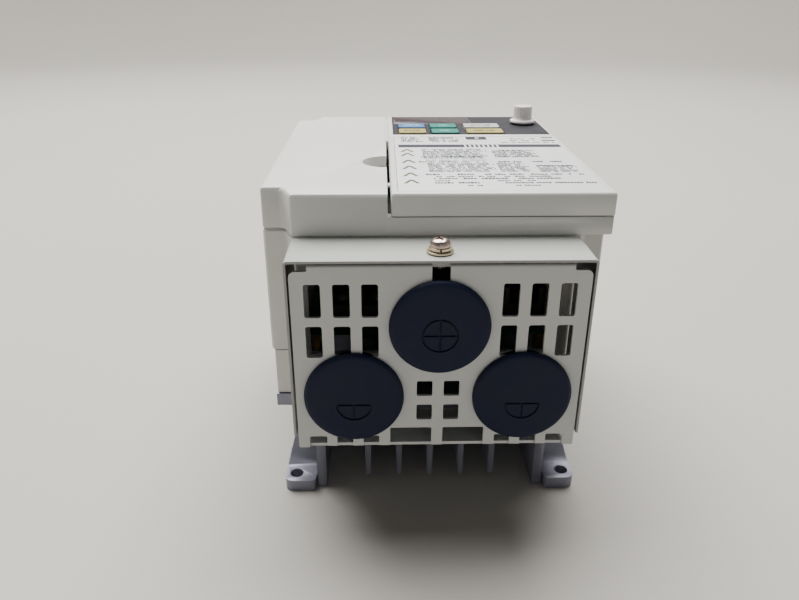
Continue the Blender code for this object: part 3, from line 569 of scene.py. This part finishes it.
def speed_knob():
    """A fluted knob with a skirt and a pale cap, and a black ring under it, a dark piece put where the
    knob's shadow falls in the overlay's opening.
    """
    low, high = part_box("frequency_knob")
    middle, tall = (low + high) / 2, (high.z - low.z) / MM
    flutes = 18

    def bend(radius, height, angle):
        gripped = 2.2 < height < tall - 0.6 and 3.3 < radius < 4.2
        return radius - (0.09 * (1 - math.cos(flutes * angle)) if gripped else 0.0), height

    profile = [(0.0, tall - 0.3), (3.15, tall - 0.3), (3.2, tall), (3.45, tall - 0.03), (3.75, tall - 0.2)]
    profile += [(3.86, tall - 0.5), (3.90, tall - 0.9), (3.96, 3.4), (4.02, 2.3), (4.08, 1.75)]
    profile += [(4.3, 1.5), (4.8, 1.32), (5.2, 1.1), (5.38, 0.75), (5.38, 0.4), (5.25, 0.12), (5.0, 0.0)]
    profile += [(1.9, 0.0), (1.9, 4.6), (0.0, 4.6)]
    mesh = moved(turned("fluted_knob", profile, flutes * 8, bend), Vector((middle.x, middle.y, low.z)))
    knob = add_piece("fluted_knob", mesh, KNOB, "speed_knob", ("frequency_knob",), smooth=True)
    knob.data.set_sharp_from_angle(angle=math.radians(50))
    cap = [(0.0, 0.28), (2.6, 0.27), (2.98, 0.20), (3.1, 0.08), (3.1, 0.02), (0.0, 0.02)]
    mesh = moved(turned("knob_cap", cap, 60), Vector((middle.x, middle.y, high.z - 0.00030)))
    add_piece("knob_cap", mesh, KNOB_TOP, "speed_knob", smooth=True)
    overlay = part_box("operator_overlay")[0].z
    # A black ring in the overlay's opening under the knob: painted shade for the shadow in that gap.
    shade_ring = [(4.4, 0.7), (4.4, 0.0), (3.1, 0.0), (3.1, 0.7)]
    mesh = moved(turned("knob_shade_ring", shade_ring, 60), Vector((middle.x, middle.y, overlay)))
    add_piece("knob_shade_ring", mesh, BLACK, "operator")


def overlay_details():
    """The pale line that ends the display's area, and the faint tick marks round the knob."""
    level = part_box("operator_overlay")[1].z
    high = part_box("display_window")[1]
    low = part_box("display_window")[0]
    line = Print("window_line", PALE_INK, "operator", "label", level)
    right, near, far = high.x / MM, (low.y - NEAR) / MM, (high.y - NEAR) / MM
    line.bar((right + 0.35, right + 0.85), (near - 0.6, far + 0.2), slant=-0.8)
    line.done()
    ticks = Print("knob_ticks", PALE_INK, "operator", "label", level)
    knob_low, knob_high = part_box("frequency_knob")
    middle = (knob_low + knob_high) / 2
    centre = Vector((middle.x / MM, (middle.y - NEAR) / MM))
    for number in range(11):
        turn = math.radians(-60 + 30 * number)
        along, across = Vector((math.cos(turn), math.sin(turn))), Vector((-math.sin(turn), math.cos(turn)))
        corners = []
        for far_out, aside in ((5.7, -0.12), (6.5, -0.12), (6.5, 0.12), (5.7, 0.12)):
            corners.append(tuple(centre + along * far_out + across * aside))
        ticks.outline(corners)
    ticks.done()


def cover_slot():
    """The bridge and the raised floor that show in the slot, 1 mm wide, beside the front cover."""
    left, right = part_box("front_cover")[0].x / MM - 1.0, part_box("front_cover")[0].x / MM
    top = TOP / MM
    bridge = [(left + 0.02, 15.5), (right + 0.3, 15.5), (right + 0.3, 18.5), (left + 0.02, 18.5)]
    mesh = prisms("slot_bridge", [(bridge, top - 2.6, top - 1.8, "Z")])
    rounded(add_piece("slot_bridge", mesh, CASE, "front_cover"), 0.00015, 2)
    floor = [(left - 0.3, 79.0), (right - 0.05, 79.0), (right - 0.05, 127.0), (left - 0.3, 127.0)]
    mesh = prisms("slot_floor", [(floor, top - 5.0, top - 1.0, "Z")])
    rounded(add_piece("slot_floor", mesh, CASE, "drive"), 0.00015, 2)


# ---------------------------------------------------------------- conduit box

# Openings of the panel in millimetres: right-hand columns, rows, and the plugs' holes
PANEL_COLUMNS = ((34.2, 39.0), (25.9, 30.8), (17.8, 22.6))
PANEL_ROWS = ((79.0, 89.4), (66.0, 76.2))
SMALL_COLUMN, SMALL_ROWS = (1.7, 6.45), ((52.5, 57.7), (44.0, 49.4))
LOW_OPENINGS = (((1.7, 14.5), 41.1), ((17.9, 22.8), 38.2), ((26.0, 31.0), 38.2), ((34.1, 39.5), 38.2))
HOLE_RADIUS = 13.8
SIDE_PLUG_GROWTH = 0.2
SHEET_MM = 1.0


def leg_bend(front, bottom, radius):
    """The section, in (y, z), of a strip that bends from the panel back into the flange."""
    outer = arc((front + radius, bottom + radius), radius, 180, 270, 6)
    top, back, end = bottom + 3.0, front + SHEET_MM, front + 3.0
    inner = [(end, bottom), (end, bottom + SHEET_MM), (back, bottom + SHEET_MM), (back, top)]
    return [(front, top)] + outer + inner


def conduit_bracket():
    """The conduit box's front in bent sheet metal: round-cornered openings, bent legs, flange and tabs.

    One side of the panel's outline is listed and mirrored. Its inner faces are bare metal, dark as painted
    shade for the dim inside of the box.
    """
    low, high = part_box("conduit_bracket")
    side, top, bottom = high.x / MM, high.z / MM, low.z / MM
    front = (low.y - NEAR) / MM
    back = front + SHEET_MM
    bend, roll = 1.0, 0.8
    notch, shoulder, corner = 37.7, top - 1.8, 1.8
    right = [(1.7, bottom + 2.5)]
    for (inner, outer), ceiling in LOW_OPENINGS:
        right[-1] = (inner, bottom + 2.5)
        right += arc((inner + 0.5, ceiling - 0.5), 0.5, 180, 90, 3)
        right += arc((outer - 0.5, ceiling - 0.5), 0.5, 90, 0, 3)
        right += [(outer, bottom + 2.5), (0.0, 0.0)]
    right[-2:] = [(39.5, bottom + 0.4)] + arc((39.9, bottom + 0.4), 0.4, 180, 270, 3)[1:]
    right += arc((side - 0.5, bottom + 0.5), 0.5, 270, 360, 3)
    right += arc((side - corner, shoulder - corner), corner, 0, 90, 6)
    right += [(notch + 0.5, shoulder)] + arc((notch + 0.5, shoulder + 0.5), 0.5, 270, 180, 3)[1:]
    right += [(notch, top - roll)]
    panel = prisms("bracket_sheet", [(right + [(-x, z) for x, z in reversed(right)], front, back, "Y")])
    solids = []
    for inner, outer in ((-1.7, 1.7), (14.5, 17.9), (22.8, 26.0), (31.0, 34.1)):
        for flip in ((1,) if inner < 0 else (-1, 1)):
            x = sorted((flip * inner, flip * outer))
            solids.append((leg_bend(front, bottom, bend), *x, "X"))
    rolled = arc((front + roll, top - roll), roll, 180, 90, 6)
    rolled += [(back - 0.01, top), (back - 0.01, top - roll - 0.4), (front, top - roll - 0.4)]
    solids.append((rolled, -notch, notch, "X"))
    flange = [(-39.3, -0.6), (39.3, -0.6), (39.3, front + 0.9), (-39.3, front + 0.9)]
    parts = prisms("legs", solids)
    sheet = combine(panel, parts, "UNION")
    flange = prisms("flange", [(flange, bottom + 0.003, bottom + SHEET_MM - 0.003, "Z")])
    sheet = combine(sheet, flange, "UNION")
    tabs = []
    for number in (1, 2):
        screw_low, screw_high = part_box(f"bracket_screw_{number}")
        x = (screw_low.x + screw_high.x) / 2 / MM
        z = (screw_low.z + screw_high.z) / 2 / MM
        tabs.append((round_rectangle((x - 6, x + 6), (bottom + 0.5, z + 5), 1.0), -2.2, -0.6, "Y"))
    tabs.append((round_rectangle((-10, 10), (front + 0.6, -7.0), 1.0), top - 1.7, top - 0.1, "Z"))
    sheet = combine(sheet, prisms("tabs", tabs), "UNION")
    cutters = []
    through = (front - 1.0, back + 1.0)
    for flip in (-1, 1):
        for column in PANEL_COLUMNS:
            x = sorted((flip * column[0], flip * column[1]))
            for row in PANEL_ROWS:
                base = 66.5 if row[0] < 70 and column[0] == 25.9 else row[0]
                cutters.append((round_rectangle(x, (base, row[1]), 0.7), *through, "Y"))
        x = sorted((flip * SMALL_COLUMN[0], flip * SMALL_COLUMN[1]))
        for row in SMALL_ROWS:
            cutters.append((round_rectangle(x, row, 0.5), *through, "Y"))
    for plug in ("centre_plug", "left_plug", "right_plug"):
        plug_low, plug_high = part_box(plug)
        centre = ((plug_low.x + plug_high.x) / 2 / MM, (plug_low.z + plug_high.z) / 2 / MM)
        cutters.append((arc(centre, HOLE_RADIUS, 0, 355, 71), *through, "Y"))
    sheet = combine(sheet, prisms("openings", cutters), "DIFFERENCE")
    slot = round_rectangle((-2.6, 2.6), (85.0, 100.0), 0.5)
    holes = [(slot, front - 1.0, front + 3.0, "Y")]
    for number in (1, 2):
        screw_low, screw_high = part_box(f"bracket_screw_{number}")
        centre = ((screw_low.x + screw_high.x) / 2 / MM, (screw_low.z + screw_high.z) / 2 / MM)
        holes.append((arc(centre, 1.9, 0, 345, 23), -4.0, 1.0, "Y"))
    screw_low, screw_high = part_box("cover_screw")
    centre = (0.0, ((screw_low.y + screw_high.y) / 2 - NEAR) / MM)
    holes.append((arc(centre, 2.2, 0, 345, 23), top - 3.0, top + 1.0, "Z"))
    sheet = combine(sheet, prisms("holes", holes), "DIFFERENCE")
    obj = add_piece("bracket_sheet", sheet, SHEET, "drive", ("conduit_bracket",))
    # The faces behind the panel take the dark bare finish: painted shade inside the box.
    sheet.materials.append(BARE_SHEET_AND_SHADE)
    for face in sheet.polygons:
        if (face.center.y - NEAR) / MM > back - 0.1 and face.normal.y > 0.5:
            face.material_index = 1
    rounded(obj, 0.00028, 3, 30)


def grooves(mesh, centre, whole, face):
    """Presses the ring and cross into a plug's face."""
    x, z = centre
    stroke, radius = 0.30, 5.1
    outer, inner = radius + stroke, radius - stroke
    ring = [(outer, 1.0), (outer, -0.50), (inner, -0.50), (inner, 1.0)]
    cutter = moved(turned("ring", ring, 72), at(x, face, z), True)
    if not whole:
        lower = [(x - 8, z - 8), (x + 8, z - 8), (x + 8, z), (x - 8, z)]
        cutter = combine(cutter, prisms("half", [(lower, face - 3.0, face + 3.0, "Y")]), "INTERSECT")
    mesh = combine(mesh, cutter, "DIFFERENCE")
    across = [(x - radius, z - stroke), (x + radius, z - stroke)]
    across += [(x + radius, z + stroke), (x - radius, z + stroke)]
    high = z + (radius if whole else 0.05)
    down = [(x - stroke, z - radius), (x + stroke, z - radius), (x + stroke, high), (x - stroke, high)]
    # The two strokes differ a little in depth, so that no cut faces coincide
    mesh = combine(mesh, prisms("across", [(across, face - 1.0, face + 0.48, "Y")]), "DIFFERENCE")
    return combine(mesh, prisms("down", [(down, face - 1.0, face + 0.46, "Y")]), "DIFFERENCE")


def hole_plugs():
    """Rubber plugs with a soft rim, a slightly crowned face and moulded knock-out marks."""
    for name in ("centre_plug", "left_plug", "right_plug"):
        low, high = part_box(name)
        x, z = (low.x + high.x) / 2 / MM, (low.z + high.z) / 2 / MM
        face, radius = (low.y - NEAR) / MM, (high.x - low.x) / 2 / MM
        if name != "centre_plug":
            radius += SIDE_PLUG_GROWTH
        sheet = (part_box("conduit_bracket")[0].y - NEAR) / MM
        proud = sheet - face
        neck = HOLE_RADIUS - 0.3
        profile = [(0.0, proud), (radius - 4.0, proud - 0.02), (radius - 1.5, proud - 0.08)]
        profile += [(radius - 1.0, proud - 0.16), (radius - 0.55, proud - 0.38)]
        profile += [(radius - 0.2, proud - 0.75), (radius, proud - 1.2)]
        profile += [(radius, 0.35), (radius - 0.15, 0.12), (radius - 0.4, 0.05)]
        profile += [(neck, 0.05), (neck, -1.7), (neck + 0.1, -2.1), (neck - 0.2, -4.0)]
        profile += [(neck - 1.7, -4.0), (neck - 1.7, -0.2), (0.0, -0.2)]
        mesh = moved(turned(name + "_rubber", profile, 96), at(x, sheet, z), True)
        mesh = grooves(mesh, (x, z - 2.0), name == "centre_plug", face)
        obj = add_piece(name + "_rubber", mesh, RUBBER, name, (name,), smooth=True)
        obj.data.set_sharp_from_angle(angle=math.radians(40))


def cover_screw():
    """The cover's pan-head screw with a driver recess, a split spring washer and a flat washer."""
    low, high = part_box("cover_screw")
    x, y = (low.x + high.x) / 2 / MM, ((low.y + high.y) / 2 - NEAR) / MM
    flat_low, flat_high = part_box("flat_washer")
    spring_low, spring_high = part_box("spring_washer")
    base, top = spring_high.z / MM, high.z / MM
    tall = top - base
    profile = [(0.0, tall), (0.9, tall - 0.02), (1.6, tall - 0.12), (2.2, tall - 0.36), (2.62, tall - 0.75)]
    profile += [(2.85, tall - 1.2), (2.95, 0.5), (2.95, 0.15), (2.8, 0.0), (1.7, 0.0), (1.7, -6.3)]
    profile += [(1.2, -6.8), (0.0, -6.8)]
    mesh = moved(turned("pan_head_screw", profile, 64), at(x, y, base))
    for turn in (20, 110):
        shape = bmesh.new()
        add_box(shape, (-0.0017, -0.00038, -0.0014), (0.0017, 0.00038, 0.003))
        arm = mesh_of(shape, "arm")
        arm.transform(Matrix.Rotation(math.radians(turn), 4, "Z"))
        mesh = combine(mesh, moved(arm, at(x, y, top)), "DIFFERENCE")
    obj = add_piece("pan_head_screw", mesh, ZINC, "conduit_cover", ("cover_screw",), smooth=True)
    obj.data.set_sharp_from_angle(angle=math.radians(38))

    radius, thick = (flat_high.x - flat_low.x) / 2 / MM, (flat_high.z - flat_low.z) / MM
    soft = 0.15
    profile = [(1.9, thick - soft), (1.9, soft), (1.9 + soft, 0.0), (radius - soft, 0.0), (radius, soft)]
    profile += [(radius, thick - soft), (radius - soft, thick), (1.9 + soft, thick)]
    mesh = moved(turned("plain_washer", profile, 64), at(x, y, flat_low.z / MM))
    add_piece("plain_washer", mesh, WASHER, "conduit_cover", ("flat_washer",))
    radius, thick = (spring_high.x - spring_low.x) / 2 / MM, (spring_high.z - spring_low.z) / MM
    profile = [(1.9, thick), (1.9, 0.0), (radius - 0.1, 0.0), (radius, 0.1)]
    profile += [(radius, thick - 0.1), (radius - 0.1, thick)]
    mesh = moved(turned("split_washer", profile, 64), at(x, y, spring_low.z / MM))
    split = [(x - 0.35, y - 5.0), (x + 0.15, y - 5.0), (x + 0.35, y), (x - 0.15, y)]
    gap = prisms("gap", [(split, spring_low.z / MM - 1.0, spring_high.z / MM + 1.0, "Z")])
    mesh = combine(mesh, gap, "DIFFERENCE")
    add_piece("split_washer", mesh, WASHER, "conduit_cover", ("spring_washer",))


def cover_sheet():
    """The conduit cover: one thin sheet folded over the box, with soft bends and a hole for its screw."""
    low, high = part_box("conduit_cover")
    side, top, bottom = high.x / MM, high.z / MM, low.z / MM
    front, back = (low.y - NEAR) / MM, (high.y - NEAR) / MM
    sheet, bend = 0.85, 1.3
    outer = [(side, bottom)] + arc((side - bend, top - bend), bend, 0, 90, 8)
    inner = [(side - sheet, bottom)] + arc((side - bend, top - bend), bend - sheet, 0, 90, 6)
    points = outer + [(-x, z) for x, z in reversed(outer)] + [(-x, z) for x, z in inner] + inner[::-1]
    screw_low, screw_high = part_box("cover_screw")
    centre = (0.0, ((screw_low.y + screw_high.y) / 2 - NEAR) / MM)
    hole = prisms("hole", [(arc(centre, 2.3, 0, 345, 23), top - 3.0, top + 1.0, "Z")])
    mesh = combine(prisms("cover_sheet", [(points, front, back, "Y")]), hole, "DIFFERENCE")
    # The cover takes the darker copy of the sheet paint, painted shade on its top.
    obj = add_piece("cover_sheet", mesh, SHADED_COVER_PAINT, "conduit_cover", ("conduit_cover",))
    # The cover's inner side faces and the underside of its top take the dark bare finish: painted shade
    # inside the box.
    mesh.materials.append(BARE_SHEET_AND_SHADE)
    for face in mesh.polygons:
        spot = face.center
        beside = abs(spot.x) < (side - sheet + 0.05) * MM and abs(face.normal.x) > 0.5
        below = spot.z < (top - sheet + 0.05) * MM and face.normal.z < -0.5 and spot.z > (bottom + 5.0) * MM
        if beside or below:
            face.material_index = 1
    rounded(obj, 0.00018, 2, 40)


# ---------------------------------------------------------------- stage, light and camera


# The camera's tilt down, turn and roll in degrees, its place in millimetres and its focal length
CAMERA_ANGLES = (24.52, -1.48, 0.19)
CAMERA_PLACE = (-16.43, -201.03, 167.15)
CAMERA_LENS = 31.572


def stage():
    """A plain pale floor that curves up into a backdrop far from the drive all round."""
    reach, curve, tall = 1900, 500, 1600
    profile = [(0.0, 0.0), (reach / 2, 0.0), (reach - 50, 0.0)]
    profile += arc((reach, curve), curve, 270, 360, 12) + [(reach + curve, tall)]
    mesh = moved(turned("floor", profile, 96), Vector((0.0, -0.45, 0.0)))
    floor = bpy.data.objects.new("floor", mesh)
    bpy.context.scene.collection.objects.link(floor)
    pale = surface("floor_pale", (0.425, 0.405, 0.375), 0.7, tone=0.01, tone_scale=3, bump=0.0)
    mesh.materials.append(pale)
    mesh.shade_smooth()


def area_light(name, place, target, size, power, colour=(1.0, 1.0, 1.0)):
    data = bpy.data.lights.new(name, "AREA")
    data.shape = "RECTANGLE"
    data.size, data.size_y = size
    data.energy = power
    data.color = colour
    lamp = bpy.data.objects.new(name, data)
    lamp.location = place
    lamp.rotation_euler = (Vector(target) - Vector(place)).to_track_quat("-Z", "Y").to_euler()
    bpy.context.scene.collection.objects.link(lamp)


def lights():
    area_light("ceiling", (-0.15, 0.62, 1.42), (0.0, 0.05, 0.05), (1.8, 1.3), 94.0, (1.0, 0.99, 0.96))
    area_light("front_fill", (0.2, -1.5, 0.6), (0.0, 0.0, 0.05), (1.2, 0.8), 0.7, (0.40, 0.70, 1.0))
    world = bpy.data.worlds.new("studio")
    bpy.context.scene.world = world
    world.use_nodes = True
    background = world.node_tree.nodes["Background"]
    background.inputs["Color"].default_value = (0.93, 0.95, 1.0, 1.0)
    background.inputs["Strength"].default_value = 0.05


def camera():
    """A camera above the conduit end, level to a fraction of a degree."""
    down, turn, roll = (math.radians(angle) for angle in CAMERA_ANGLES)
    ahead = Vector((0.0, math.cos(down), -math.sin(down)))
    above = Vector((0.0, math.sin(down), math.cos(down)))
    right = Vector((1.0, 0.0, 0.0))
    spin = Matrix.Rotation(turn, 3, "Z")
    ahead, above, right = spin @ ahead, spin @ above, spin @ right
    right, above = (
        math.cos(roll) * right + math.sin(roll) * above,
        -math.sin(roll) * right + math.cos(roll) * above,
    )
    data = bpy.data.cameras.new("camera")
    data.sensor_width = 36.0
    data.lens = CAMERA_LENS
    data.clip_start = 0.01
    made = bpy.data.objects.new("camera", data)
    place = at(*CAMERA_PLACE)
    made.matrix_world = Matrix((
        (right.x, above.x, -ahead.x, place.x),
        (right.y, above.y, -ahead.y, place.y),
        (right.z, above.z, -ahead.z, place.z),
        (0, 0, 0, 1),
    ))
    bpy.context.scene.collection.objects.link(made)
    bpy.context.scene.camera = made


camera()
stage()
lights()
finish_cad_nodes()
conduit_bracket()
cover_sheet()
hole_plugs()
cover_screw()
operator_keys()
speed_knob()
overlay_details()
cover_slot()
front_print()
indicator_tab()
